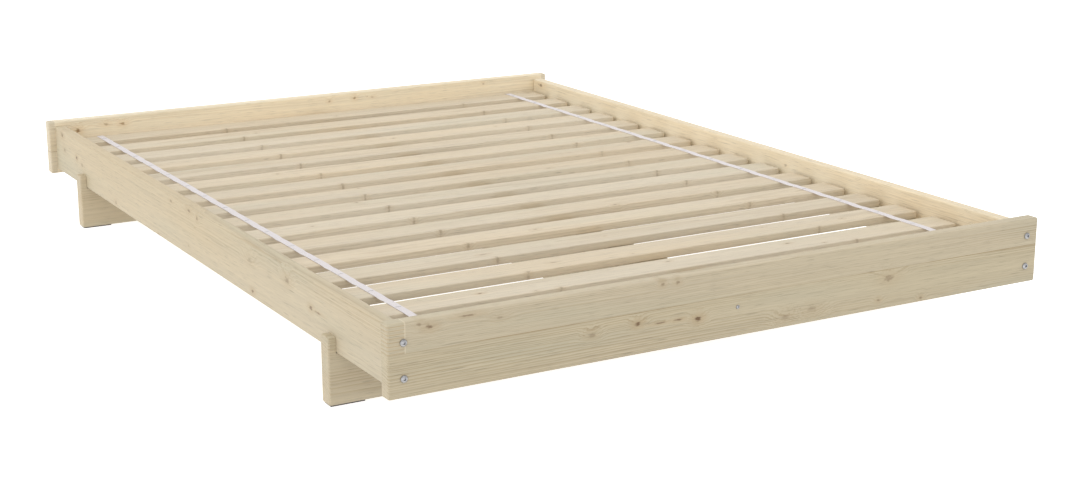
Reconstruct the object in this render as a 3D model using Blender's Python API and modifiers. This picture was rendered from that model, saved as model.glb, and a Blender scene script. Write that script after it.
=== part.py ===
"""A low pine platform bed for a 1400 x 2000 mm mattress, in metres, +Z up.

X runs across the bed, Y from the foot to the head. The origin is on the floor, under the
middle of the bed.
"""

import math

import bmesh
import bpy
from mathutils import Matrix

# Overall sizes
bed_width = 1.508  # length of the two end boards, along X
bed_length = 2.080  # over the outer faces of the end boards, along Y
gap = 0.0003  # between pieces that touch

# End boards and side rails
board_thickness = 0.030
board_height = 0.138
rail_thickness = 0.028
rail_height = 0.114
rail_inset = 0.016  # from a board's end to a rail's outer face
edge_radius = 0.004

# Leg planks on felt pads; the rails drop into their notches
pad_thickness = 0.002
pad_length = 0.070
leg_height = 0.133
leg_thickness = 0.036
leg_setback = 0.255  # from a board's outer face to the plank
notch_depth = 0.032

# Ledgers on the rails and the beam between the end boards, both under the slats
ledger_width = 0.022
ledger_height = 0.0299
ledger_end_gap = 0.008
beam_width = 0.072

# Stretcher on edge between the leg planks, flush with the beam's left edge
stretcher_height = 0.101
stretcher_thickness = 0.036
housing_depth = 0.008  # of the housings that take its ends

# Slatted base
slat_count = 16
slat_width = 0.076
slat_thickness = 0.0166
slat_radius = 0.0025
slat_side_gap = 0.010  # from a slat's end to the rail
slat_foot_margin = 0.0306
slat_head_margin = 0.0154
ribbon_width = 0.0165
ribbon_thickness = 0.0012
ribbon_left_inset = 0.076  # from the slats' left ends to the ribbon's middle
ribbon_right_inset = 0.086

# Button-head bolts and the insert nuts in the rails' ends
bolt_radius = 0.004
bolt_length = 0.060
bolt_spacing = 0.0654  # between the upper and the lower bolt of a corner
bolt_clearance = 0.0005
head_radius = 0.007
head_height = 0.0044
socket_radius = 0.0029
socket_depth = 0.0026
insert_radius = 0.006
insert_length = 0.020
insert_recess = 0.001
insert_clearance = 0.0004

# Wood screws
screw_radius = 0.0025
screw_head_radius = 0.004
screw_head_height = 0.0024
screw_socket_radius = 0.0014
screw_socket_depth = 0.0013
screw_clearance = 0.0004
beam_screw_length = 0.070
beam_screw_offset = -0.017  # of the beam's screws from the beam's middle
ledger_screw_length = 0.040
ledger_screw_count = 5
ledger_screw_margin = 0.110

# Places that follow from the sizes above
half_width = bed_width / 2
half_length = bed_length / 2
board_inner = half_length - board_thickness
rail_outer = half_width - rail_inset
rail_middle = rail_outer - rail_thickness / 2
rail_inner = rail_outer - rail_thickness
rail_end = board_inner - gap
leg_bottom = pad_thickness + gap
leg_top = leg_bottom + leg_height
notch_floor = leg_top - notch_depth
leg_outer = half_length - leg_setback
leg_inner = leg_outer - leg_thickness
stretcher_left = -beam_width / 2
stretcher_right = stretcher_left + stretcher_thickness
stretcher_bottom = leg_top - stretcher_height
rail_bottom = notch_floor + gap
rail_top = rail_bottom + rail_height
rail_mid_height = (rail_bottom + rail_top) / 2
board_bottom = rail_mid_height - board_height / 2
board_top = rail_mid_height + board_height / 2
ledger_bottom = leg_top + gap
ledger_top = ledger_bottom + ledger_height
ledger_mid_height = (ledger_bottom + ledger_top) / 2
ledger_outer = rail_inner - gap
ledger_inner = ledger_outer - ledger_width
slat_bottom = ledger_top + gap
slat_half_length = rail_inner - slat_side_gap
first_slat = -board_inner + slat_foot_margin + slat_width / 2
last_slat = board_inner - slat_head_margin - slat_width / 2
slat_pitch = (last_slat - first_slat) / (slat_count - 1)

pine = (0.74, 0.56, 0.34)
pine_pale = (0.78, 0.62, 0.41)
pine_grey = (0.62, 0.50, 0.33)
steel = (0.55, 0.55, 0.56)
brass = (0.60, 0.52, 0.36)
cotton = (0.86, 0.84, 0.88)
felt = (0.10, 0.08, 0.07)


def clear_scene():
    for thing in list(bpy.data.objects):
        bpy.data.objects.remove(thing, do_unlink=True)


def new_collection(name):
    made = bpy.data.collections.new(name)
    bpy.context.scene.collection.children.link(made)
    return made


def material(name, colour, roughness, metallic=0.0):
    made = bpy.data.materials.new(name)
    made.use_nodes = True
    shader = made.node_tree.nodes["Principled BSDF"]
    shader.inputs["Base Color"].default_value = (*colour, 1.0)
    shader.inputs["Roughness"].default_value = roughness
    shader.inputs["Metallic"].default_value = metallic
    return made


def add_object(name, mesh, collection, finish=None):
    made = bpy.data.objects.new(name, mesh)
    collection.objects.link(made)
    if finish and not mesh.materials:
        mesh.materials.append(finish)
    return made


def box_mesh(name, low, high):
    """A box between two opposite corners."""
    size = [b - a for a, b in zip(low, high)]
    middle = [(a + b) / 2 for a, b in zip(low, high)]
    bm = bmesh.new()
    bmesh.ops.create_cube(bm, size=1.0)
    bmesh.ops.scale(bm, vec=size, verts=bm.verts)
    bmesh.ops.translate(bm, vec=middle, verts=bm.verts)
    mesh = bpy.data.meshes.new(name)
    bm.to_mesh(mesh)
    bm.free()
    return mesh


def board(name, low, high, finish, radius=edge_radius):
    """A plank with rounded edges."""
    made = add_object(name, box_mesh(name, low, high), parts, finish)
    rounding = made.modifiers.new("rounded_edges", "BEVEL")
    rounding.width = radius
    rounding.segments = 2
    return made


def box_cutter(name, low, high):
    made = add_object(name, box_mesh(name, low, high), cutters)
    made.hide_render = True
    made.display_type = "WIRE"
    return made


def rod_cutter(name, radius, start, end, axis, sides=16):
    """A round cutter between two points on a line along X or Y."""
    length = math.dist(start, end)
    turn = Matrix.Rotation(math.pi / 2, 4, "Y" if axis == "X" else "X")
    middle = [(a + b) / 2 for a, b in zip(start, end)]
    bm = bmesh.new()
    bmesh.ops.create_cone(
        bm,
        cap_ends=True,
        segments=sides,
        radius1=radius,
        radius2=radius,
        depth=length,
        matrix=Matrix.Translation(middle) @ turn,
    )
    mesh = bpy.data.meshes.new(name)
    bm.to_mesh(mesh)
    bm.free()
    made = add_object(name, mesh, cutters)
    made.hide_render = True
    made.display_type = "WIRE"
    return made


def cut(piece, cutter):
    hole = piece.modifiers.new("cut_" + cutter.name, "BOOLEAN")
    hole.operation = "DIFFERENCE"
    hole.object = cutter


def baked(piece):
    """The piece's mesh with its modifiers applied, to share between copies."""
    graph = bpy.context.evaluated_depsgraph_get()
    mesh = bpy.data.meshes.new_from_object(piece.evaluated_get(graph))
    mesh.name = piece.name
    bpy.data.objects.remove(piece, do_unlink=True)
    return mesh


def turned_screw(name, shank, length, head, height, socket, depth, sides):
    """A domed screw that points down -Z, with its seat at the origin and a hex socket."""
    arc = 4
    dome = [math.pi / 2 * i / arc for i in range(arc + 1)]
    rim = height * 0.25
    outline = [(head * math.sin(a), rim + (height - rim) * math.cos(a)) for a in dome]
    outline += [(head, 0), (shank, 0), (shank, -length + shank), (0, -length)]
    bm = bmesh.new()
    points = [bm.verts.new((x, 0, z)) for x, z in outline]
    for a, b in zip(points, points[1:]):
        bm.edges.new((a, b))
    mesh = bpy.data.meshes.new(name)
    bm.to_mesh(mesh)
    bm.free()
    made = add_object(name, mesh, parts, steel_finish)
    spin = made.modifiers.new("turned", "SCREW")
    spin.steps = sides
    spin.render_steps = sides
    spin.use_merge_vertices = True
    spin.merge_threshold = 0.00001
    bm = bmesh.new()
    bmesh.ops.create_cone(
        bm,
        cap_ends=True,
        segments=6,
        radius1=socket,
        radius2=socket,
        depth=depth * 2,
        matrix=Matrix.Translation((0, 0, height)),
    )
    key = bpy.data.meshes.new(name + "_socket")
    bm.to_mesh(key)
    bm.free()
    socket_cutter = add_object(name + "_socket", key, cutters)
    socket_cutter.hide_render = True
    socket_cutter.display_type = "WIRE"
    cut(made, socket_cutter)
    bpy.context.view_layer.update()
    mesh = baked(made)
    mesh.shade_smooth()
    mesh.set_sharp_from_angle(angle=math.radians(35))
    return mesh


def insert_nut_mesh():
    """A sleeve along Y, centred on the origin, with the bolt's bore through it."""
    name = "insert_nut"
    bm = bmesh.new()
    bmesh.ops.create_cone(
        bm,
        cap_ends=True,
        segments=20,
        radius1=insert_radius,
        radius2=insert_radius,
        depth=insert_length,
        matrix=Matrix.Rotation(math.pi / 2, 4, "X"),
    )
    mesh = bpy.data.meshes.new(name)
    bm.to_mesh(mesh)
    bm.free()
    made = add_object(name, mesh, parts, insert_finish)
    bore = bolt_radius + bolt_clearance
    cut(made, rod_cutter("insert_bore", bore, (0, -insert_length, 0), (0, insert_length, 0), "Y"))
    bpy.context.view_layer.update()
    mesh = baked(made)
    mesh.shade_smooth()
    mesh.set_sharp_from_angle(angle=math.radians(35))
    return mesh


def end_board(name, end):
    """The foot board (end -1) or the head board (end +1)."""
    faces = sorted((end * board_inner, end * half_length))
    low = (-half_width, faces[0], board_bottom)
    high = (half_width, faces[1], board_top)
    return board(name, low, high, pine_finish)


def side_rail(name, side):
    """A rail between the end boards; side -1 is the left one, +1 the right one."""
    faces = sorted((side * rail_inner, side * rail_outer))
    low = (faces[0], -rail_end, rail_bottom)
    high = (faces[1], rail_end, rail_top)
    return board(name, low, high, pine_finish)


def ledger(name, side):
    """The strip inside a rail that the slats' ends lie on."""
    faces = sorted((side * ledger_inner, side * ledger_outer))
    reach = board_inner - ledger_end_gap
    low = (faces[0], -reach, ledger_bottom)
    high = (faces[1], reach, ledger_top)
    return board(name, low, high, pine_under_finish, slat_radius)


def center_beam():
    """The beam from board to board under the slats, on the leg planks."""
    low = (-beam_width / 2, -rail_end, ledger_bottom)
    high = (beam_width / 2, rail_end, ledger_top)
    return board("center_beam", low, high, pine_under_finish)


def center_stretcher():
    """A plank on edge under the beam, housed in both leg planks."""
    reach = leg_inner + housing_depth - gap
    low = (stretcher_left, -reach, stretcher_bottom)
    high = (stretcher_right, reach, leg_top)
    return board("center_stretcher", low, high, pine_under_finish)


def leg_plank(name, end):
    """A plank on edge across the bed, notched from above for the rails and the stretcher."""
    faces = sorted((end * leg_inner, end * leg_outer))
    low = (-half_width, faces[0], leg_bottom)
    high = (half_width, faces[1], leg_top)
    made = board(name, low, high, pine_finish)
    for side in (-1, 1):
        sides = sorted((side * (rail_inner - gap), side * (rail_outer + gap)))
        notch_low = (sides[0], faces[0] - leg_thickness, notch_floor)
        notch_high = (sides[1], faces[1] + leg_thickness, leg_top + notch_depth)
        cut(made, box_cutter(f"{name}_notch_{side}", notch_low, notch_high))
    depths = sorted((end * (leg_inner - housing_depth), end * (leg_inner + housing_depth)))
    housing_low = (stretcher_left - gap, depths[0], stretcher_bottom - gap)
    housing_high = (stretcher_right + gap, depths[1], leg_top + housing_depth)
    cut(made, box_cutter(f"{name}_housing", housing_low, housing_high))
    return made


def felt_pad(name, side, end):
    """A pad under one end of a leg plank."""
    inset = edge_radius
    faces = sorted((end * (leg_inner + inset), end * (leg_outer - inset)))
    reach = half_width - inset
    sides = sorted((side * reach, side * (reach - pad_length)))
    low = (sides[0], faces[0], 0)
    high = (sides[1], faces[1], pad_thickness)
    return add_object(name, box_mesh(name, low, high), parts, felt_finish)


def lift_empty():
    """The slatted base's parent, on the line along which the base lifts out."""
    made = bpy.data.objects.new("slat_base", None)
    parts.objects.link(made)
    made.location = (0, 0, slat_bottom)
    return made


def slats():
    """The slats, evenly spaced between the margins at the foot and the head."""
    half = (slat_half_length, slat_width / 2, slat_thickness / 2)
    low = tuple(-value for value in half)
    shared = baked(board("slat", low, half, slat_finish, slat_radius))
    for i in range(slat_count):
        made = add_object(f"slat_{i + 1:02d}", shared, parts)
        made.parent = slat_base
        made.location = (0, first_slat + slat_pitch * i, slat_thickness / 2)


def ribbon(name, middle):
    """A woven ribbon along the tops of the slats."""
    bottom = slat_thickness + gap
    low = (middle - ribbon_width / 2, first_slat - slat_width / 2, bottom)
    high = (middle + ribbon_width / 2, last_slat + slat_width / 2, bottom + ribbon_thickness)
    made = add_object(name, box_mesh(name, low, high), parts, ribbon_finish)
    made.parent = slat_base


def corner_fasteners(end_name, end, side_name, side, end_piece, rail):
    """Two bolts through an end board into the insert nuts in a rail's end."""
    x = side * rail_middle
    for level_name, level in (("upper", 1), ("lower", -1)):
        z = rail_mid_height + level * bolt_spacing / 2
        label = f"{end_name}_{side_name}_{level_name}"
        bolt = add_object("bolt_" + label, bolt_mesh, parts)
        bolt.location = (x, end * (half_length + gap), z)
        bolt.rotation_euler = (-end * math.pi / 2, 0, 0)
        outside = end * (half_length + head_height)
        inside = end * (half_length - bolt_length - bolt_radius)
        radius = bolt_radius + bolt_clearance
        bore = rod_cutter("bore_" + label, radius, (x, outside, z), (x, inside, z), "Y")
        insert = add_object("insert_nut_" + label, insert_mesh, parts)
        insert.location = (x, end * (rail_end - insert_recess - insert_length / 2), z)
        mouth = end * (rail_end + insert_recess)
        floor = end * (rail_end - insert_recess - insert_length - insert_clearance)
        seat_radius = insert_radius + insert_clearance
        seat = rod_cutter("seat_" + label, seat_radius, (x, mouth, z), (x, floor, z), "Y", 20)
        cut(end_piece, bore)
        cut(rail, bore)
        cut(rail, seat)


def beam_fastener(end_name, end, end_piece):
    """A screw through an end board into the end of the beam."""
    seat = (beam_screw_offset, end * (half_length + gap), ledger_mid_height)
    screw = add_object(f"beam_screw_{end_name}", beam_screw_mesh, parts)
    screw.location = seat
    screw.rotation_euler = (-end * math.pi / 2, 0, 0)
    radius = screw_radius + screw_clearance
    tip = end * (half_length - beam_screw_length - screw_radius)
    start = (seat[0], end * (half_length + screw_head_height), seat[2])
    bore = rod_cutter(f"beam_bore_{end_name}", radius, start, (seat[0], tip, seat[2]), "Y", 12)
    cut(end_piece, bore)
    cut(beam, bore)


def ledger_fasteners(side_name, side, joined):
    """Screws through a ledger into its rail."""
    reach = board_inner - ledger_end_gap - ledger_screw_margin
    for i in range(ledger_screw_count):
        y = -reach + 2 * reach * i / (ledger_screw_count - 1)
        screw = add_object(f"ledger_screw_{side_name}_{i + 1}", ledger_screw_mesh, parts)
        screw.location = (side * (ledger_inner - gap), y, ledger_mid_height)
        screw.rotation_euler = (0, -side * math.pi / 2, 0)
        start = (side * (ledger_inner - screw_head_height), y, ledger_mid_height)
        deep = side * (ledger_inner + ledger_screw_length + screw_radius)
        end = (deep, y, ledger_mid_height)
        radius = screw_radius + screw_clearance
        bore = rod_cutter(f"ledger_bore_{side_name}_{i + 1}", radius, start, end, "X", 12)
        for piece in joined:
            cut(piece, bore)


clear_scene()
parts = new_collection("bed_frame")
cutters = new_collection("cutters")

pine_finish = material("pine", pine, 0.55)
pine_under_finish = material("pine_under", pine_grey, 0.6)
slat_finish = material("slat_pine", pine_pale, 0.6)
ribbon_finish = material("ribbon", cotton, 0.85)
felt_finish = material("felt", felt, 0.95)
steel_finish = material("steel", steel, 0.35, 1.0)
insert_finish = material("insert_metal", brass, 0.4, 1.0)

foot_board = end_board("foot_board", -1)
head_board = end_board("head_board", 1)
rail_left = side_rail("side_rail_left", -1)
rail_right = side_rail("side_rail_right", 1)
ledger_left = ledger("ledger_left", -1)
ledger_right = ledger("ledger_right", 1)
beam = center_beam()
leg_plank("leg_plank_front", -1)
leg_plank("leg_plank_rear", 1)
center_stretcher()
for pad_end_name, pad_end in (("front", -1), ("rear", 1)):
    felt_pad(f"pad_{pad_end_name}_left", -1, pad_end)
    felt_pad(f"pad_{pad_end_name}_right", 1, pad_end)
slat_base = lift_empty()
slats()
ribbon("ribbon_left", -slat_half_length + ribbon_left_inset)
ribbon("ribbon_right", slat_half_length - ribbon_right_inset)

bolt_mesh = turned_screw(
    "bolt", bolt_radius, bolt_length, head_radius, head_height, socket_radius, socket_depth, 16
)
beam_screw_mesh = turned_screw(
    "beam_screw", screw_radius, beam_screw_length, screw_head_radius, screw_head_height,
    screw_socket_radius, screw_socket_depth, 12,
)
ledger_screw_mesh = turned_screw(
    "ledger_screw", screw_radius, ledger_screw_length, screw_head_radius, screw_head_height,
    screw_socket_radius, screw_socket_depth, 12,
)
insert_mesh = insert_nut_mesh()

corner_fasteners("foot", -1, "left", -1, foot_board, rail_left)
corner_fasteners("foot", -1, "right", 1, foot_board, rail_right)
corner_fasteners("head", 1, "left", -1, head_board, rail_left)
corner_fasteners("head", 1, "right", 1, head_board, rail_right)
beam_fastener("foot", -1, foot_board)
beam_fastener("head", 1, head_board)
ledger_fasteners("left", -1, (ledger_left, rail_left))
ledger_fasteners("right", 1, (ledger_right, rail_right))
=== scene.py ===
import math

import bmesh
import bpy
from mathutils import Matrix, Vector


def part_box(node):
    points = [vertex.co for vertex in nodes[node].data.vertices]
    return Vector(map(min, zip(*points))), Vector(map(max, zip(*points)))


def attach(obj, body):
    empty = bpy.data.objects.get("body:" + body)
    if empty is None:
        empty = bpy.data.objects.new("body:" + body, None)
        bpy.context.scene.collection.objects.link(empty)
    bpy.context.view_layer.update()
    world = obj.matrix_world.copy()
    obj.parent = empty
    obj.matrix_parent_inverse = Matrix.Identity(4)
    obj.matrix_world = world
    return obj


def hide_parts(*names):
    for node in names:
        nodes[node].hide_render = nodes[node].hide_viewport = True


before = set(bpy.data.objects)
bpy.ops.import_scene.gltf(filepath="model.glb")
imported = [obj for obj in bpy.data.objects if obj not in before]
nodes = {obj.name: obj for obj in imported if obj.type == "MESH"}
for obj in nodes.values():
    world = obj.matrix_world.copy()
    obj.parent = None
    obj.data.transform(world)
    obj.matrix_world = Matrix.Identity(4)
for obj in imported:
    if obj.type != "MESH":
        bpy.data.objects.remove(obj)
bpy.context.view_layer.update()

# Places read from the frame
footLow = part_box("foot_board")[0]
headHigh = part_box("head_board")[1]
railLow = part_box("side_rail_left")[0]
firstLow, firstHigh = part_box("slat_01")
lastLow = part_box("slat_16")[0]
slatCount = 16
slatWidth = firstHigh.y - firstLow.y
slatPitch = (lastLow.y - firstLow.y) / (slatCount - 1)
slatMiddle = (firstLow.y + firstHigh.y) / 2  # of the first slat, along the bed
slatTop = firstHigh.z
slatNames = [f"slat_{i + 1:02d}" for i in range(slatCount)]


# Helpers for node trees
def newMaterial(name):
    made = bpy.data.materials.new(name)
    made.use_nodes = True
    tree = made.node_tree
    return made, tree, tree.nodes["Principled BSDF"]


def plug(tree, socket, value):
    if isinstance(value, bpy.types.NodeSocket):
        tree.links.new(value, socket)
    else:
        socket.default_value = value


def addNode(tree, kind, feeds=None, **settings):
    made = tree.nodes.new(kind)
    for key, value in settings.items():
        setattr(made, key, value)
    for key, value in (feeds or {}).items():
        plug(tree, made.inputs[key], value)
    return made


def calc(tree, operation, *values):
    made = addNode(tree, "ShaderNodeMath", operation=operation)
    for socket, value in zip(made.inputs, values):
        plug(tree, socket, value)
    return made.outputs[0]


def vectorCalc(tree, operation, *values):
    made = addNode(tree, "ShaderNodeVectorMath", operation=operation)
    for socket, value in zip(made.inputs, values):
        plug(tree, socket, value)
    return made.outputs["Value" if operation == "LENGTH" else "Vector"]


def fade(tree, value, fromLow, fromHigh, toLow=0.0, toHigh=1.0, kind="SMOOTHSTEP"):
    feeds = {0: value, 1: fromLow, 2: fromHigh, 3: toLow, 4: toHigh}
    return addNode(tree, "ShaderNodeMapRange", feeds, interpolation_type=kind).outputs[0]


def mixColour(tree, factor, first, second, blend="MIX"):
    feeds = {0: factor, 6: first, 7: second}  # a Mix node's colours are its sockets 6 and 7
    made = addNode(tree, "ShaderNodeMix", feeds, data_type="RGBA", blend_type=blend)
    return made.outputs[2]


def noise(tree, point, stretch, detail=2.0, roughness=0.5):
    scaled = vectorCalc(tree, "MULTIPLY", point, stretch)
    feeds = {"Vector": scaled, "Scale": 1.0, "Detail": detail, "Roughness": roughness}
    return addNode(tree, "ShaderNodeTexNoise", feeds).outputs[0]


def bump(tree, shader, height, distance, strength):
    feeds = {"Height": height, "Distance": distance, "Strength": strength}
    made = addNode(tree, "ShaderNodeBump", feeds)
    tree.links.new(made.outputs["Normal"], shader.inputs["Normal"])


def srgb(red, green, blue):
    def linear(value):
        value /= 255
        return value / 12.92 if value <= 0.04045 else ((value + 0.055) / 1.055) ** 2.4
    return (linear(red), linear(green), linear(blue), 1.0)


# Pine: rings round a pith behind the face, knots, fibre, pores and glue lines.
# Lengths are in metres. A stretch is how often a pattern changes in a metre
# along, up and into the board.
pineLook = {
    "early": srgb(196, 183, 157),  # the pale part of a ring
    "late": srgb(160, 140, 107),  # its dark line
    "warm": srgb(200, 183, 151),
    "cool": srgb(188, 180, 155),
    "knot": srgb(112, 88, 62),
    "halo": srgb(176, 150, 112),  # the wood round a knot
    "seam": srgb(150, 128, 92),  # a glue line
    "contrast": 0.62,  # of the rings
    "roughness": 0.56,
    "gloss": 0.32,
    "bumpDepth": 0.00035,
    "bumpStrength": 0.35,
    # rings
    "ringWidth": 0.0047,
    "ringSteps": ((0.42, 0.10), (0.74, 0.55), (0.90, 1.0), (0.96, 0.75)),  # place, darkness
    "ringDrift": 3.4,  # how far narrow and wide rings gather
    "driftRate": 0.21,
    "bend": 0.013,  # how far the rings wander
    "ripple": 0.55,  # of a ring's width
    "tilt": 0.010,  # how far the pith leaves the face, for each metre
    "middle": 0.0,  # place of the pith along the height
    "middleSpread": (-0.03, 0.03),
    "deepMiddle": 0.0,  # and through the thickness
    "pithAway": (0.03, 0.07),
    "calmFade": (0.36, 0.66),
    "calmest": 0.1,  # what is left of the rings where they fade out
    # knots by chance
    "knotCell": (0.36, 0.085),
    "knotShare": 0.5,  # of the cells that hold a knot
    "knotSize": 0.0055,
    "knotTone": (0.35, 0.95),
    # every knot, in its own radii
    "swellReach": 4.2,  # where the rings swell round it
    "swell": 1.9,
    "coreFade": (0.25, 0.95),
    "haloFade": (0.7, 3.0),
    "haloShare": 0.8,
    "wobble": 1.3,  # how uneven its outline is
    # light and dark over a board
    "fibreShade": (0.93, 1.05),
    "streakShade": (0.93, 1.045),
    "boardShade": (0.965, 1.03),  # from one board or slat to the next
    "poreDepth": 0.30,
    "dashDepth": 0.16,
    # glue line and finger joint: full within the first width, gone at the second
    "seamWidth": (0.0003, 0.0009),
    "seamShade": (0.25, 0.8),
    "toothWidth": (0.0003, 0.0011),
    "toothShade": 0.55,
    "jointEdgeWidth": (0.0005, 0.0018),
    "jointEdgeShade": 0.4,
    # stretches
    "wobbleStretch": (130, 260, 130),
    "wanderStretch": (0.9, 5, 5),
    "rippleStretch": (9, 160, 160),
    "calmStretch": (0.7, 14, 14),
    "toneStretch": (0.8, 7, 7),
    "coolStretch": (1.7, 13, 13),
    "fibreStretch": (14, 620, 620),
    "poreStretch": (26, 1150, 1150),
    "streakStretch": (3.2, 150, 150),
    "dashStretch": (11, 240, 240),
    "seamStretch": (7, 3, 3),
}


def joinKnots(tree, first, second):
    lift = calc(tree, "ADD", first[0], second[0])
    core = calc(tree, "MAXIMUM", first[1], second[1])
    halo = calc(tree, "MAXIMUM", first[2], second[2])
    return lift, core, halo


def chosenKnots(tree, look, point, wobble, knots):
    # each knot is (along, high, half length, half height, darkness)
    found = (0.0, 0.0, 0.0)
    for along, high, halfLong, halfHigh, dark in knots:
        offset = vectorCalc(tree, "SUBTRACT", point, (along, high, 0))
        offset = vectorCalc(tree, "MULTIPLY", offset, (1 / halfLong, 1 / halfHigh, 0))
        far = calc(tree, "ADD", vectorCalc(tree, "LENGTH", offset), wobble)
        lift = fade(tree, far, 0, look["swellReach"], halfHigh * look["swell"], 0)
        core = fade(tree, far, *look["coreFade"], dark, 0)
        halo = fade(tree, far, *look["haloFade"], dark * look["haloShare"], 0)
        found = joinKnots(tree, found, (lift, core, halo))
    return found


def chanceKnots(tree, look, point, wobble):
    cellLong, cellHigh = look["knotCell"]
    scaled = vectorCalc(tree, "MULTIPLY", point, (1 / cellLong, 1 / cellHigh, 0))
    cells = addNode(tree, "ShaderNodeTexVoronoi", {"Vector": scaled, "Scale": 1.0},
                    voronoi_dimensions="2D")
    offset = vectorCalc(tree, "SUBTRACT", scaled, cells.outputs["Position"])
    # a knot is 1.7 times as long as it is high
    offset = vectorCalc(tree, "MULTIPLY", offset, (cellLong / 1.7, cellHigh, 0))
    pick = addNode(tree, "ShaderNodeSeparateColor", {0: cells.outputs["Color"]})
    bare = 1 - look["knotShare"]
    size = fade(tree, pick.outputs[0], bare, 1, 0.0002, look["knotSize"], "LINEAR")
    far = calc(tree, "DIVIDE", vectorCalc(tree, "LENGTH", offset), size)
    far = calc(tree, "ADD", far, wobble)
    there = calc(tree, "GREATER_THAN", pick.outputs[0], bare)
    dark = fade(tree, pick.outputs[1], 0, 1, *look["knotTone"], "LINEAR")
    dark = calc(tree, "MULTIPLY", there, dark)
    lift = fade(tree, far, 0, look["swellReach"], look["swell"], 0)
    core = fade(tree, far, *look["coreFade"], 1, 0)
    halo = fade(tree, far, *look["haloFade"], look["haloShare"], 0)
    lift = calc(tree, "MULTIPLY", lift, size)
    core = calc(tree, "MULTIPLY", core, dark)
    halo = calc(tree, "MULTIPLY", halo, dark)
    return lift, core, halo


def lateWood(tree, look, place, point, lift, chances):
    # how dark the rings are, round a pith that lies behind the face
    along, high, deep = place
    width, bend = look["ringWidth"], look["bend"]
    wander = noise(tree, point, look["wanderStretch"], 2)
    wander = calc(tree, "MULTIPLY_ADD", wander, 2 * bend, -bend)
    lowest, highest = (look["middle"] + away for away in look["middleSpread"])
    pithHigh = fade(tree, chances[0], 0, 1, lowest, highest, "LINEAR")
    nearest, farthest = (look["deepMiddle"] + away for away in look["pithAway"])
    pithDeep = fade(tree, chances[1], 0, 1, nearest, farthest, "LINEAR")
    pithDeep = calc(tree, "MULTIPLY_ADD", along, look["tilt"], pithDeep)
    across = calc(tree, "SUBTRACT", high, pithHigh)
    inward = calc(tree, "SUBTRACT", deep, pithDeep)
    spoke = addNode(tree, "ShaderNodeCombineXYZ", {0: across, 1: inward}).outputs[0]
    radius = vectorCalc(tree, "LENGTH", spoke)
    radius = calc(tree, "ADD", calc(tree, "ADD", radius, wander), lift)
    ripple = noise(tree, point, look["rippleStretch"], 1)
    radius = calc(tree, "ADD", radius, calc(tree, "MULTIPLY", ripple, width * look["ripple"]))
    turns = calc(tree, "DIVIDE", radius, width)
    feeds = {"W": calc(tree, "MULTIPLY", turns, look["driftRate"]), "Scale": 1.0}
    drift = addNode(tree, "ShaderNodeTexNoise", feeds, noise_dimensions="1D").outputs[0]
    turns = calc(tree, "MULTIPLY_ADD", drift, look["ringDrift"], turns)
    ramp = addNode(tree, "ShaderNodeValToRGB", {0: calc(tree, "FRACT", turns)})
    stops = ramp.color_ramp.elements
    stops[0].position, stops[0].color = 0.0, (0, 0, 0, 1)
    stops[1].position, stops[1].color = 1.0, (0, 0, 0, 1)
    for position, value in look["ringSteps"]:
        stops.new(position).color = (value, value, value, 1)
    calm = noise(tree, point, look["calmStretch"], 1)
    calm = fade(tree, calm, *look["calmFade"], look["calmest"], 1.0)
    late = calc(tree, "MULTIPLY", ramp.outputs[0], calm)
    return calc(tree, "MULTIPLY", late, look["contrast"])


def woodColour(tree, look, along, point, late, fibre, pore, chance):
    tone = fade(tree, noise(tree, point, look["toneStretch"], 2), 0.3, 0.7)
    ground = mixColour(tree, tone, look["early"], look["warm"])
    cooler = fade(tree, noise(tree, point, look["coolStretch"], 1), 0.45, 0.75, 0, 0.7)
    ground = mixColour(tree, cooler, ground, look["cool"])
    colour = mixColour(tree, late, ground, look["late"])
    shade = fade(tree, fibre, 0.25, 0.75, *look["fibreShade"], "LINEAR")
    shade = calc(tree, "SUBTRACT", shade, pore)
    streak = noise(tree, point, look["streakStretch"], 3, 0.65)
    streak = fade(tree, streak, 0.3, 0.7, *look["streakShade"], "LINEAR")
    shade = calc(tree, "MULTIPLY", shade, streak)
    dash = noise(tree, point, look["dashStretch"], 1)
    shade = calc(tree, "SUBTRACT", shade, fade(tree, dash, 0.70, 0.78, 0, look["dashDepth"]))
    brightness = fade(tree, chance, 0, 1, *look["boardShade"], "LINEAR")
    shade = calc(tree, "MULTIPLY", shade, brightness)
    if "paleTo" in look:  # painted shade: beyond the rails the board's ends are darkened, so the stretch between the rails looks lit
        edge, soft = look["paleTo"], 0.002
        reach = calc(tree, "ABSOLUTE", along)
        outside = fade(tree, reach, edge - soft, edge + soft, 1, look["endShade"])
        shade = calc(tree, "MULTIPLY", shade, outside)
    grey = addNode(tree, "ShaderNodeCombineColor", {0: shade, 1: shade, 2: shade}).outputs[0]
    return mixColour(tree, 1.0, colour, grey, "MULTIPLY")


def glueSeam(tree, look, colour, height, flat, high):
    near = calc(tree, "ABSOLUTE", calc(tree, "SUBTRACT", high, look["glue"]))
    line = fade(tree, near, *look["seamWidth"], 1, 0)
    clear = noise(tree, flat, look["seamStretch"], 1)
    clear = fade(tree, clear, 0.35, 0.6, *look["seamShade"])
    colour = mixColour(tree, calc(tree, "MULTIPLY", line, clear), colour, look["seam"])
    return colour, calc(tree, "MULTIPLY_ADD", line, -1.2, height)


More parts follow.
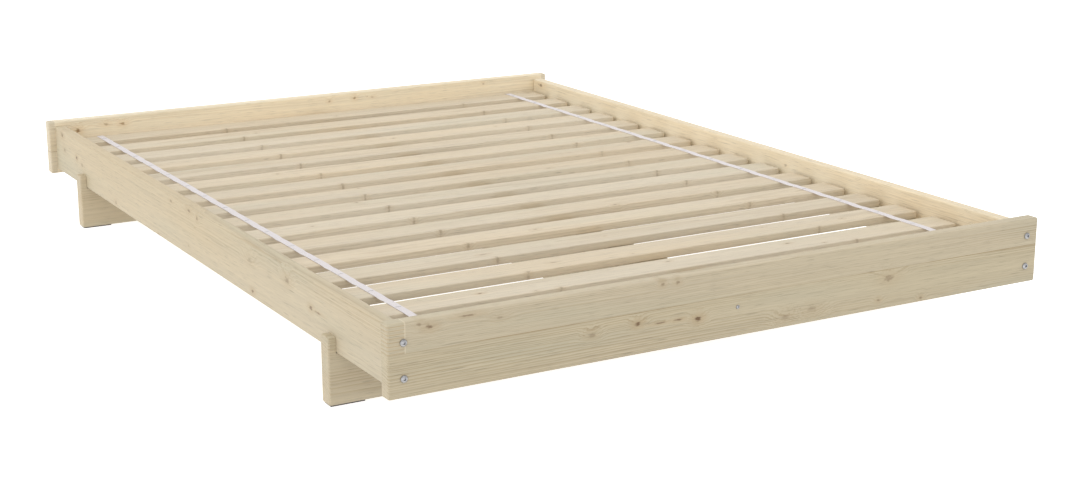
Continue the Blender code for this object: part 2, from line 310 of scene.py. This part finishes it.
def fingerJoint(tree, look, colour, along, high, teeth):
    # only the upper lamella has one: tooth lines outside it, and a pale edge
    end = look["joint"][0]
    upper = calc(tree, "GREATER_THAN", high, look["glue"])
    outer = calc(tree, "MULTIPLY", upper, calc(tree, "LESS_THAN", along, end))
    tooth = fade(tree, teeth, *look["toothWidth"], look["toothShade"], 0)
    colour = mixColour(tree, calc(tree, "MULTIPLY", tooth, outer), colour, look["halo"])
    near = calc(tree, "ABSOLUTE", calc(tree, "SUBTRACT", along, end))
    edge = fade(tree, near, *look["jointEdgeWidth"], look["jointEdgeShade"], 0)
    return mixColour(tree, calc(tree, "MULTIPLY", edge, upper), colour, look["jointEdge"])


def pineMaterial(name, axes, **changes):
    look = {**pineLook, **changes}
    made, tree, shader = newMaterial(name)
    place = addNode(tree, "ShaderNodeTexCoord").outputs["Object"]
    split = addNode(tree, "ShaderNodeSeparateXYZ", {0: place})
    along, high, deep = (split.outputs[axis] for axis in axes)
    whole = addNode(tree, "ShaderNodeCombineXYZ", {0: along, 1: high}).outputs[0]

    # which slat or which glued lamella this is
    index = 0.0
    if "slatRow" in look:
        firstMiddle, pitch = look["slatRow"]
        row = calc(tree, "DIVIDE", calc(tree, "SUBTRACT", high, firstMiddle), pitch)
        index = calc(tree, "ROUND", row)
        high = calc(tree, "SUBTRACT", high, calc(tree, "MULTIPLY_ADD", index, pitch, firstMiddle))
    elif "glue" in look:
        index = calc(tree, "GREATER_THAN", high, look["glue"])
        if "joint" in look:  # another board beyond the teeth, which slope 1.2 to 1
            end, toothSize = look["joint"]
            teeth = calc(tree, "PINGPONG", high, toothSize)
            past = calc(tree, "LESS_THAN", calc(tree, "MULTIPLY_ADD", teeth, 1.2, along), end)
            index = calc(tree, "MULTIPLY_ADD", calc(tree, "MULTIPLY", past, index), 4, index)
    chance = addNode(tree, "ShaderNodeTexWhiteNoise", noise_dimensions="1D")
    chanceSeed = look["seed"] + 0.37  # clear of whole numbers
    plug(tree, chance.inputs["W"], calc(tree, "ADD", index, chanceSeed))
    chances = addNode(tree, "ShaderNodeSeparateColor", {0: chance.outputs["Color"]}).outputs
    flat = addNode(tree, "ShaderNodeCombineXYZ", {0: along, 1: high, 2: deep}).outputs[0]
    # each board or slat takes its pattern from another place, up to 17 m away
    shift = vectorCalc(tree, "MULTIPLY", chance.outputs["Color"], (17, 11, 7))
    point = vectorCalc(tree, "ADD", flat, shift)

    wobble = noise(tree, point, look["wobbleStretch"], 2)
    wobble = calc(tree, "MULTIPLY_ADD", wobble, look["wobble"], -look["wobble"] / 2)
    knots = chosenKnots(tree, look, flat, wobble, look.get("knots", ()))
    if "ownKnots" in look:  # those of single slats, placed in the bed's own measures
        own = chosenKnots(tree, look, whole, wobble, look["ownKnots"])
        knots = joinKnots(tree, knots, own)
    lift, core, halo = joinKnots(tree, knots, chanceKnots(tree, look, point, wobble))

    late = lateWood(tree, look, (along, high, deep), point, lift, chances)
    fibre = noise(tree, point, look["fibreStretch"], 2, 0.6)
    pore = noise(tree, point, look["poreStretch"], 0)
    pore = fade(tree, pore, 0.66, 0.8, 0, look["poreDepth"])
    colour = woodColour(tree, look, along, point, late, fibre, pore, chances[2])
    colour = mixColour(tree, calc(tree, "MULTIPLY", halo, 0.5), colour, look["halo"])
    colour = mixColour(tree, core, colour, look["knot"])

    height = calc(tree, "MULTIPLY_ADD", late, -0.5, calc(tree, "MULTIPLY", fibre, 0.5))
    height = calc(tree, "MULTIPLY_ADD", pore, -0.8, height)
    height = calc(tree, "MULTIPLY_ADD", core, 0.6, height)
    if "glue" in look:
        colour, height = glueSeam(tree, look, colour, height, flat, high)
    if "joint" in look:
        colour = fingerJoint(tree, look, colour, along, high, teeth)
    plug(tree, shader.inputs["Base Color"], colour)
    rough = calc(tree, "MULTIPLY_ADD", fibre, 0.16, look["roughness"] - 0.08)
    rough = calc(tree, "MULTIPLY_ADD", core, -0.10, rough)
    plug(tree, shader.inputs["Roughness"], rough)
    shader.inputs["Specular IOR Level"].default_value = look["gloss"]
    bump(tree, shader, height, look["bumpDepth"], look["bumpStrength"])
    return made


footFinish = pineMaterial(
    "pine_foot_board", axes=(0, 2, 1), seed=3.0, glue=0.173, joint=(-0.7205, 0.0035),
    jointEdge=srgb(226, 214, 188), middle=0.05, deepMiddle=footLow.y, pithAway=(0.02, 0.05),
    knotShare=0.0, warm=srgb(196, 183, 154), contrast=0.74,
    knots=(
        (-0.673, 0.214, 0.011, 0.0055, 0.75), (-0.693, 0.221, 0.007, 0.004, 0.45),
        (-0.596, 0.223, 0.020, 0.0030, 0.60), (-0.534, 0.209, 0.012, 0.004, 0.30),
        (-0.343, 0.146, 0.010, 0.006, 0.40), (-0.243, 0.152, 0.009, 0.0055, 0.95),
        (-0.195, 0.146, 0.016, 0.0022, 0.70), (-0.154, 0.146, 0.012, 0.0030, 0.75),
        (-0.109, 0.141, 0.010, 0.0062, 1.00), (-0.190, 0.220, 0.006, 0.0045, 0.55),
        (-0.156, 0.219, 0.006, 0.0045, 0.50), (0.098, 0.112, 0.014, 0.008, 0.30),
        (0.163, 0.120, 0.016, 0.009, 0.26), (0.355, 0.154, 0.018, 0.009, 0.45),
        (0.330, 0.112, 0.006, 0.004, 0.55), (0.441, 0.100, 0.006, 0.004, 0.60),
    ),
)
headPaintedLightFinish = pineMaterial(
    "pine_head_board_painted_light", axes=(0, 2, 1), seed=9.0, glue=0.150, middle=0.05, deepMiddle=headHigh.y,
    # painted shade: the ends beyond the rails are darkened to 0.80
    paleTo=-railLow.x, endShade=0.80, pithAway=(-0.05, -0.02), knotShare=0.15,
    # painted light: these colours are paler than the foot board's, standing in for the light on the
    # board's inner face
    early=srgb(238, 226, 200), warm=srgb(240, 221, 187), cool=srgb(230, 219, 194),
    late=srgb(208, 184, 146), knot=srgb(150, 118, 78), halo=srgb(216, 186, 142),
    knots=(
        (-0.677, 0.200, 0.009, 0.007, 0.95), (-0.600, 0.209, 0.010, 0.0045, 0.55),
        (-0.556, 0.207, 0.010, 0.0055, 0.75), (0.046, 0.211, 0.006, 0.004, 0.6),
        (0.124, 0.213, 0.006, 0.005, 0.7), (0.180, 0.211, 0.008, 0.003, 0.4),
    ),
)
railLeftFinish = pineMaterial(
    "pine_rail_left", axes=(1, 2, 0), seed=17.0, middle=0.13, deepMiddle=railLow.x,
    pithAway=(0.04, 0.08), knotShare=0.10, contrast=0.46,
    knots=(
        (0.944, 0.206, 0.010, 0.007, 0.75), (0.930, 0.169, 0.012, 0.007, 0.45),
        (0.824, 0.168, 0.008, 0.006, 1.0), (0.781, 0.158, 0.012, 0.006, 0.4),
        (0.513, 0.116, 0.007, 0.006, 0.5), (0.105, 0.206, 0.010, 0.004, 0.5),
        (-0.011, 0.208, 0.014, 0.005, 0.65), (-0.061, 0.202, 0.007, 0.006, 0.6),
        (0.199, 0.107, 0.008, 0.004, 0.5), (0.001, 0.127, 0.008, 0.003, 0.3),
        (-0.374, 0.119, 0.009, 0.005, 0.85), (-0.363, 0.180, 0.016, 0.008, 0.3),
        (-0.558, 0.187, 0.015, 0.009, 0.5), (-0.672, 0.161, 0.010, 0.006, 0.8),
        (-0.705, 0.160, 0.020, 0.0025, 0.7),
    ),
)
railRightPaintedLightFinish = pineMaterial(
    "pine_rail_right_painted_light", axes=(1, 2, 0), seed=21.0, middle=0.06, deepMiddle=-railLow.x,
    # painted light: these colours are paler than the left rail's, standing in for the light on this
    # rail's inner face
    pithAway=(-0.06, -0.02), knotShare=0.15, early=srgb(230, 219, 194), warm=srgb(232, 215, 184),
    cool=srgb(224, 214, 190), late=srgb(206, 185, 150), halo=srgb(214, 188, 148),
    knots=((0.963, 0.205, 0.012, 0.006, 0.7), (-0.232, 0.190, 0.008, 0.005, 0.45),
           (0.178, 0.180, 0.012, 0.003, 0.3)),
)
legFinishes = {
    end: pineMaterial(f"pine_leg_{end}", axes=(0, 2, 1), seed=seed, middle=0.02, deepMiddle=place,
                      pithAway=(0.02, 0.06), knotShare=0.4, contrast=0.54)
    for end, seed, place in (("front", 27.0, -0.767), ("rear", 29.0, 0.767))
}
slatKnots = [  # on single slats: slat, along, across, half length, half width, darkness
    (2, -0.451, 0.005, 0.007, 0.004, 0.9), (2, -0.349, -0.031, 0.006, 0.003, 0.4),
    (2, -0.015, 0.016, 0.007, 0.004, 0.55), (2, 0.279, 0.009, 0.009, 0.004, 0.6),
    (3, -0.219, -0.001, 0.010, 0.003, 0.45), (3, -0.043, -0.024, 0.006, 0.003, 0.35),
    (3, 0.512, -0.006, 0.005, 0.003, 0.8), (3, 0.314, 0.017, 0.005, 0.003, 0.35),
    (4, -0.312, -0.003, 0.012, 0.003, 0.55), (5, -0.118, -0.006, 0.007, 0.004, 0.5),
    (7, -0.520, 0.004, 0.006, 0.003, 0.6), (9, 0.210, -0.010, 0.007, 0.004, 0.5),
    (11, -0.390, 0.012, 0.006, 0.004, 0.6), (13, 0.350, 0.008, 0.006, 0.003, 0.5),
    (15, -0.250, -0.006, 0.006, 0.004, 0.55),
]
slatFinish = pineMaterial(
    "pine_slats", axes=(0, 1, 2), seed=33.0, slatRow=(slatMiddle, slatPitch),
    deepMiddle=slatTop, pithAway=(-0.09, -0.05), knotCell=(0.30, 0.075), knotShare=0.25,
    knotSize=0.005, early=srgb(210, 198, 176), warm=srgb(213, 197, 170),
    cool=srgb(205, 195, 172), late=srgb(178, 158, 128), contrast=0.42, roughness=0.62,
    knots=((-0.297, -0.0355, 0.0055, 0.0048, 0.42), (0.426, -0.0355, 0.0055, 0.0048, 0.36)),
    ownKnots=[(along, slatMiddle + slatPitch * (slat - 1) + across, *rest)
              for slat, along, across, *rest in slatKnots],
)
underFinish = pineMaterial("pine_under", axes=(1, 0, 2), seed=40.0, deepMiddle=0.15,
                           early=srgb(190, 176, 148))
print("pine mixed")


# Bolts, screws, insert nuts and staple wire
metalLook = {
    "clouds": (260, 260, 260), "grit": (2600, 2600, 2600), "darker": 0.72,
    "unevenGloss": 0.22, "gritDepth": 0.00008, "gritStrength": 0.25,
}


def metalMaterial(name, colour, roughness):
    made, tree, shader = newMaterial(name)
    place = addNode(tree, "ShaderNodeTexCoord").outputs["Object"]
    cloud = noise(tree, place, metalLook["clouds"], 3)
    grit = noise(tree, place, metalLook["grit"], 2)
    darker = tuple(value * metalLook["darker"] for value in colour[:3]) + (1.0,)
    clouded = mixColour(tree, fade(tree, cloud, 0.35, 0.7), colour, darker)
    plug(tree, shader.inputs["Base Color"], clouded)
    uneven = metalLook["unevenGloss"]
    rough = calc(tree, "MULTIPLY_ADD", cloud, uneven, roughness - uneven / 2)
    plug(tree, shader.inputs["Roughness"], rough)
    shader.inputs["Metallic"].default_value = 1.0
    bump(tree, shader, grit, metalLook["gritDepth"], metalLook["gritStrength"])
    return made


zincFinish = metalMaterial("zinc", srgb(168, 168, 170), 0.36)
insertFinish = metalMaterial("insert_plating", srgb(205, 188, 140), 0.34)
stapleFinish = metalMaterial("staple_wire", srgb(206, 207, 210), 0.28)

# Woven tape
tapeLook = {
    "warpPitch": 0.0016, "weftPitch": 0.0011,
    "thread": srgb(230, 224, 225), "paintedHollowShade": srgb(200, 193, 195), "dust": srgb(214, 208, 206),
    "lint": (900, 900, 900), "worn": (40, 12, 40), "dustShare": 0.5,
    "roughness": 0.72, "sheen": 0.25, "weaveDepth": 0.0003, "weaveStrength": 0.5,
}


def tapeMaterial(name, look):
    made, tree, shader = newMaterial(name)
    place = addNode(tree, "ShaderNodeTexCoord").outputs["Object"]
    x, y = addNode(tree, "ShaderNodeSeparateXYZ", {0: place}).outputs[:2]
    warp = calc(tree, "SINE", calc(tree, "MULTIPLY", x, math.tau / look["warpPitch"]))
    weft = calc(tree, "SINE", calc(tree, "MULTIPLY", y, math.tau / look["weftPitch"]))
    cloth = calc(tree, "MULTIPLY_ADD", calc(tree, "MULTIPLY", warp, weft), 0.5, 0.5)
    lint = noise(tree, place, look["lint"], 2)
    worn = noise(tree, place, look["worn"], 2)
    thread = calc(tree, "MULTIPLY_ADD", lint, 0.35, calc(tree, "MULTIPLY", cloth, 0.65))
    # painted shade: the weave's hollows take a darker colour than the threads
    colour = mixColour(tree, fade(tree, thread, 0.2, 0.8), look["paintedHollowShade"], look["thread"])
    dusty = fade(tree, worn, 0.45, 0.8, 0, look["dustShare"])
    plug(tree, shader.inputs["Base Color"], mixColour(tree, dusty, colour, look["dust"]))
    rough = calc(tree, "MULTIPLY_ADD", lint, 0.15, look["roughness"])
    plug(tree, shader.inputs["Roughness"], rough)
    shader.inputs["Sheen Weight"].default_value = look["sheen"]
    shader.inputs["Sheen Roughness"].default_value = 0.5
    bump(tree, shader, thread, look["weaveDepth"], look["weaveStrength"])
    return made


tapeFinish = tapeMaterial("tape_weave", tapeLook)


# Felt under the leg planks
feltLook = {
    "colour": srgb(64, 58, 54), "paler": 2.4, "hair": (1500, 1500, 700), "clump": (180, 180, 180),
    "roughness": 0.88, "sheen": 0.4, "hairDepth": 0.0006, "hairStrength": 0.6,
}


def feltMaterial(name, look):
    made, tree, shader = newMaterial(name)
    place = addNode(tree, "ShaderNodeTexCoord").outputs["Object"]
    hair = noise(tree, place, look["hair"], 4, 0.7)
    clump = noise(tree, place, look["clump"], 2)
    pale = tuple(value * look["paler"] for value in look["colour"][:3]) + (1.0,)
    colour = mixColour(tree, fade(tree, hair, 0.35, 0.75), look["colour"], pale)
    plug(tree, shader.inputs["Base Color"], colour)
    rough = calc(tree, "MULTIPLY_ADD", clump, 0.1, look["roughness"])
    plug(tree, shader.inputs["Roughness"], rough)
    shader.inputs["Sheen Weight"].default_value = look["sheen"]
    bump(tree, shader, hair, look["hairDepth"], look["hairStrength"])
    return made


feltFinish = feltMaterial("felt", feltLook)
print("metal, tape and felt mixed")

# The frame's own pieces keep their shapes and get smooth rounded edges
surfaceLook = {"weld": 0.00002, "cornerAngle": 60, "normalWeight": 80}


def dress(names, finish):
    for name in names:
        piece = nodes[name]
        piece.data.materials.clear()
        piece.data.materials.append(finish)
        weld = piece.modifiers.new("joined", "WELD")
        weld.merge_threshold = surfaceLook["weld"]
        split = piece.modifiers.new("crisp_corners", "EDGE_SPLIT")
        split.split_angle = math.radians(surfaceLook["cornerAngle"])
        smooth = piece.modifiers.new("soft_edges", "WEIGHTED_NORMAL")
        smooth.weight = surfaceLook["normalWeight"]
        piece.data.shade_smooth()


dress(["foot_board"], footFinish)
dress(["head_board"], headPaintedLightFinish)
dress(["side_rail_left"], railLeftFinish)
dress(["side_rail_right"], railRightPaintedLightFinish)
dress(["leg_plank_front"], legFinishes["front"])
dress(["leg_plank_rear"], legFinishes["rear"])
dress(["ledger_left", "ledger_right", "center_beam", "center_stretcher"], underFinish)
dress(slatNames, slatFinish)
dress([name for name in nodes if name.startswith("insert_nut")], insertFinish)
dress([name for name in nodes if "screw" in name or name.startswith("bolt_")], zincFinish)
dress([name for name in nodes if name.startswith("pad_")], feltFinish)
print("frame dressed")


def finishPiece(name, bm, finish, body, smoothAngle):
    mesh = bpy.data.meshes.new(name)
    bm.to_mesh(mesh)
    bm.free()
    mesh.materials.append(finish)
    mesh.shade_smooth()
    mesh.set_sharp_from_angle(angle=math.radians(smoothAngle))
    piece = bpy.data.objects.new(name, mesh)
    bpy.context.scene.collection.objects.link(piece)
    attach(piece, body)
    return piece


# Ribbons: flat on the slats, sagging a little between them
ribbonLook = {
    "thickness": 0.0009, "clear": 0.00015, "sag": 0.0009, "columns": 8, "rowsPerPitch": 24,
    "edgeCurl": 0.00018, "wave": 0.00022, "waveRate": 23,
}


def ribbonHeight(y):
    place = (y - firstLow.y) % slatPitch
    if place < slatWidth:
        return 0.0
    share = (place - slatWidth) / (slatPitch - slatWidth)
    return -ribbonLook["sag"] * math.sin(math.pi * share) ** 2


def makeRibbon(side):
    low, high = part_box("ribbon_" + side)
    middle = (low.x + high.x) / 2
    lowest = slatTop + ribbonLook["clear"]
    bm = bmesh.new()
    bmesh.ops.create_grid(bm, x_segments=ribbonLook["columns"],
                          y_segments=ribbonLook["rowsPerPitch"] * slatCount, size=0.5)
    bmesh.ops.scale(bm, vec=(high.x - low.x, high.y - low.y, 1), verts=bm.verts)
    bmesh.ops.translate(bm, vec=(middle, (low.y + high.y) / 2, 0), verts=bm.verts)
    for vert in bm.verts:
        acrossShare = abs(vert.co.x - middle) / (high.x - low.x) * 2
        vert.co.x += ribbonLook["wave"] * math.sin(vert.co.y * ribbonLook["waveRate"] + middle * 40)
        curl = ribbonLook["edgeCurl"] * acrossShare ** 4
        vert.co.z = lowest + ribbonHeight(vert.co.y) + curl
    bmesh.ops.solidify(bm, geom=bm.faces[:], thickness=-ribbonLook["thickness"])
    bmesh.ops.recalc_face_normals(bm, faces=bm.faces)
    piece = finishPiece("tape_" + side, bm, tapeFinish, "slat_base", 60)
    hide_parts("ribbon_" + side)
    return middle


# Staples: one on each slat, each turned and set a little differently
stapleLook = {
    "crown": 0.0098, "wire": 0.0007, "leg": 0.0045, "turn": 14, "drift": 0.006,
    "wide": 1.3, "flat": 0.8, "shoulder": 0.9, "sunk": 0.45, "rounding": 0.22,  # of the wire
}


def pull(bm, face, move):
    # extrudes one face and takes away the one left inside
    grown = bmesh.ops.extrude_face_region(bm, geom=[face])
    tips = [item for item in grown["geom"] if isinstance(item, bmesh.types.BMVert)]
    bmesh.ops.translate(bm, vec=move, verts=tips)
    bmesh.ops.delete(bm, geom=[face], context="FACES_ONLY")
    return tips


def makeStaples(side, middle):
    bm = bmesh.new()
    wire = stapleLook["wire"]
    ribbonTop = slatTop + ribbonLook["clear"] + ribbonLook["thickness"]
    crownHeight = ribbonTop + wire * stapleLook["sunk"]
    innerReach = stapleLook["crown"] / 2 - 1e-6
    size = (stapleLook["crown"], wire * stapleLook["wide"], wire * stapleLook["flat"])
    for i in range(slatCount):
        y = slatMiddle + slatPitch * i
        y += stapleLook["drift"] * math.sin(i * 2.3 + middle * 9)
        angle = math.radians(stapleLook["turn"] * math.sin(i * 1.7 + middle * 5))
        place = Matrix.Translation((middle, y, crownHeight)) @ Matrix.Rotation(angle, 4, "Z")
        crown = bmesh.ops.create_cube(bm, size=1.0)["verts"]
        bmesh.ops.scale(bm, vec=size, verts=crown)
        faces = {face for vert in crown for face in vert.link_faces}
        ends = [face for face in faces if abs(face.normal.x) >= 0.9]
        for face in sorted(ends, key=lambda item: item.calc_center_median().x):
            outward = 1 if face.normal.x > 0 else -1
            corner = pull(bm, face, (outward * wire * stapleLook["shoulder"], 0, 0))
            crown += corner
            under = [
                item for item in {near for vert in corner for near in vert.link_faces}
                if item.normal.z < -0.9 and all(abs(vert.co.x) > innerReach for vert in item.verts)
            ]
            for item in under:
                crown += pull(bm, item, (0, 0, -stapleLook["leg"]))
        bmesh.ops.transform(bm, matrix=place, verts=crown)
    edges = [edge for edge in bm.edges if edge.calc_length() > wire * 0.7]
    bmesh.ops.recalc_face_normals(bm, faces=bm.faces)
    bmesh.ops.bevel(bm, geom=edges, offset=wire * stapleLook["rounding"], affect="EDGES",
                    segments=2, profile=0.5, material=-1, clamp_overlap=True)
    finishPiece("staples_" + side, bm, stapleFinish, "slat_base", 50)


for side in ("left", "right"):
    makeStaples(side, makeRibbon(side))
print("ribbons stapled")

# Studio: a pale floor, a soft sky and one large lamp
studioLook = {
    "floorColour": (0.82, 0.82, 0.82, 1), "floorGlow": 0.72, "floorSize": 40,
    "floorHeight": -0.0005,
    "below": 0.68, "above": 1.10, "skyline": 0.12,  # the sky's strength, and the change between
    "leftShare": 0.2, "horizon": 1.25, "overheadLoss": 0.42,
    "lampPlace": (-1.0, -0.6, 4.2), "lampTarget": (0, 0, 0.1), "lampSize": 2.6, "lampPower": 16,
}
floorFinish, _, floorShader = newMaterial("studio_floor")
floorShader.inputs["Base Color"].default_value = studioLook["floorColour"]
floorShader.inputs["Roughness"].default_value = 0.95
floorShader.inputs["Specular IOR Level"].default_value = 0.0
floorShader.inputs["Emission Color"].default_value = (1, 1, 1, 1)
floorShader.inputs["Emission Strength"].default_value = studioLook["floorGlow"]
floorMesh = bmesh.new()
bmesh.ops.create_grid(floorMesh, x_segments=1, y_segments=1, size=studioLook["floorSize"])
floorData = bpy.data.meshes.new("studio_floor")
floorMesh.to_mesh(floorData)
floorMesh.free()
floorData.materials.append(floorFinish)
floor = bpy.data.objects.new("studio_floor", floorData)
floor.location = (0, 0, studioLook["floorHeight"])
floor.visible_diffuse = False  # the sky's dim lower half lights the wood from below instead
bpy.context.scene.collection.objects.link(floor)

studio = bpy.data.worlds.new("studio")
studio.use_nodes = True
sky = studio.node_tree
skyPlace = addNode(sky, "ShaderNodeTexCoord").outputs["Generated"]
skyX, _, skyZ = addNode(sky, "ShaderNodeSeparateXYZ", {0: skyPlace}).outputs
skyLight = fade(sky, skyZ, -studioLook["skyline"], studioLook["skyline"],
                studioLook["below"], studioLook["above"])
sideways = calc(sky, "MULTIPLY_ADD", skyX, -studioLook["leftShare"], 1.0)
skyHeight = calc(sky, "MAXIMUM", skyZ, 0)
overhead = calc(sky, "MULTIPLY_ADD", skyHeight, -studioLook["overheadLoss"], studioLook["horizon"])
skyLight = calc(sky, "MULTIPLY", calc(sky, "MULTIPLY", skyLight, overhead), sideways)
plug(sky, sky.nodes["Background"].inputs["Color"], (1, 1, 1, 1))
plug(sky, sky.nodes["Background"].inputs["Strength"], skyLight)
bpy.context.scene.world = studio

lampData = bpy.data.lights.new("softbox_above", "AREA")
lampData.shape = "DISK"
lampData.size = studioLook["lampSize"]
lampData.energy = studioLook["lampPower"]
lamp = bpy.data.objects.new("softbox_above", lampData)
lamp.location = studioLook["lampPlace"]
aim = Vector(studioLook["lampTarget"]) - Vector(studioLook["lampPlace"])
lamp.rotation_euler = aim.to_track_quat("-Z", "Y").to_euler()
bpy.context.scene.collection.objects.link(lamp)

cameraLook = {
    "lens": 62.50, "sensor": 36.0, "place": (-2.0584, -3.8138, 1.1872),
    "down": 14.76, "right": 30.07,  # degrees from level, and from straight along the bed
}
cameraData = bpy.data.cameras.new("camera")
cameraData.lens = cameraLook["lens"]
cameraData.sensor_width = cameraLook["sensor"]
cameraData.sensor_fit = "HORIZONTAL"
camera = bpy.data.objects.new("camera", cameraData)
camera.location = cameraLook["place"]
turn = (90 - cameraLook["down"], 0, -cameraLook["right"])
camera.rotation_euler = [math.radians(angle) for angle in turn]
bpy.context.scene.collection.objects.link(camera)
bpy.context.scene.camera = camera
bpy.context.scene.view_settings.view_transform = "Standard"
print("studio set")
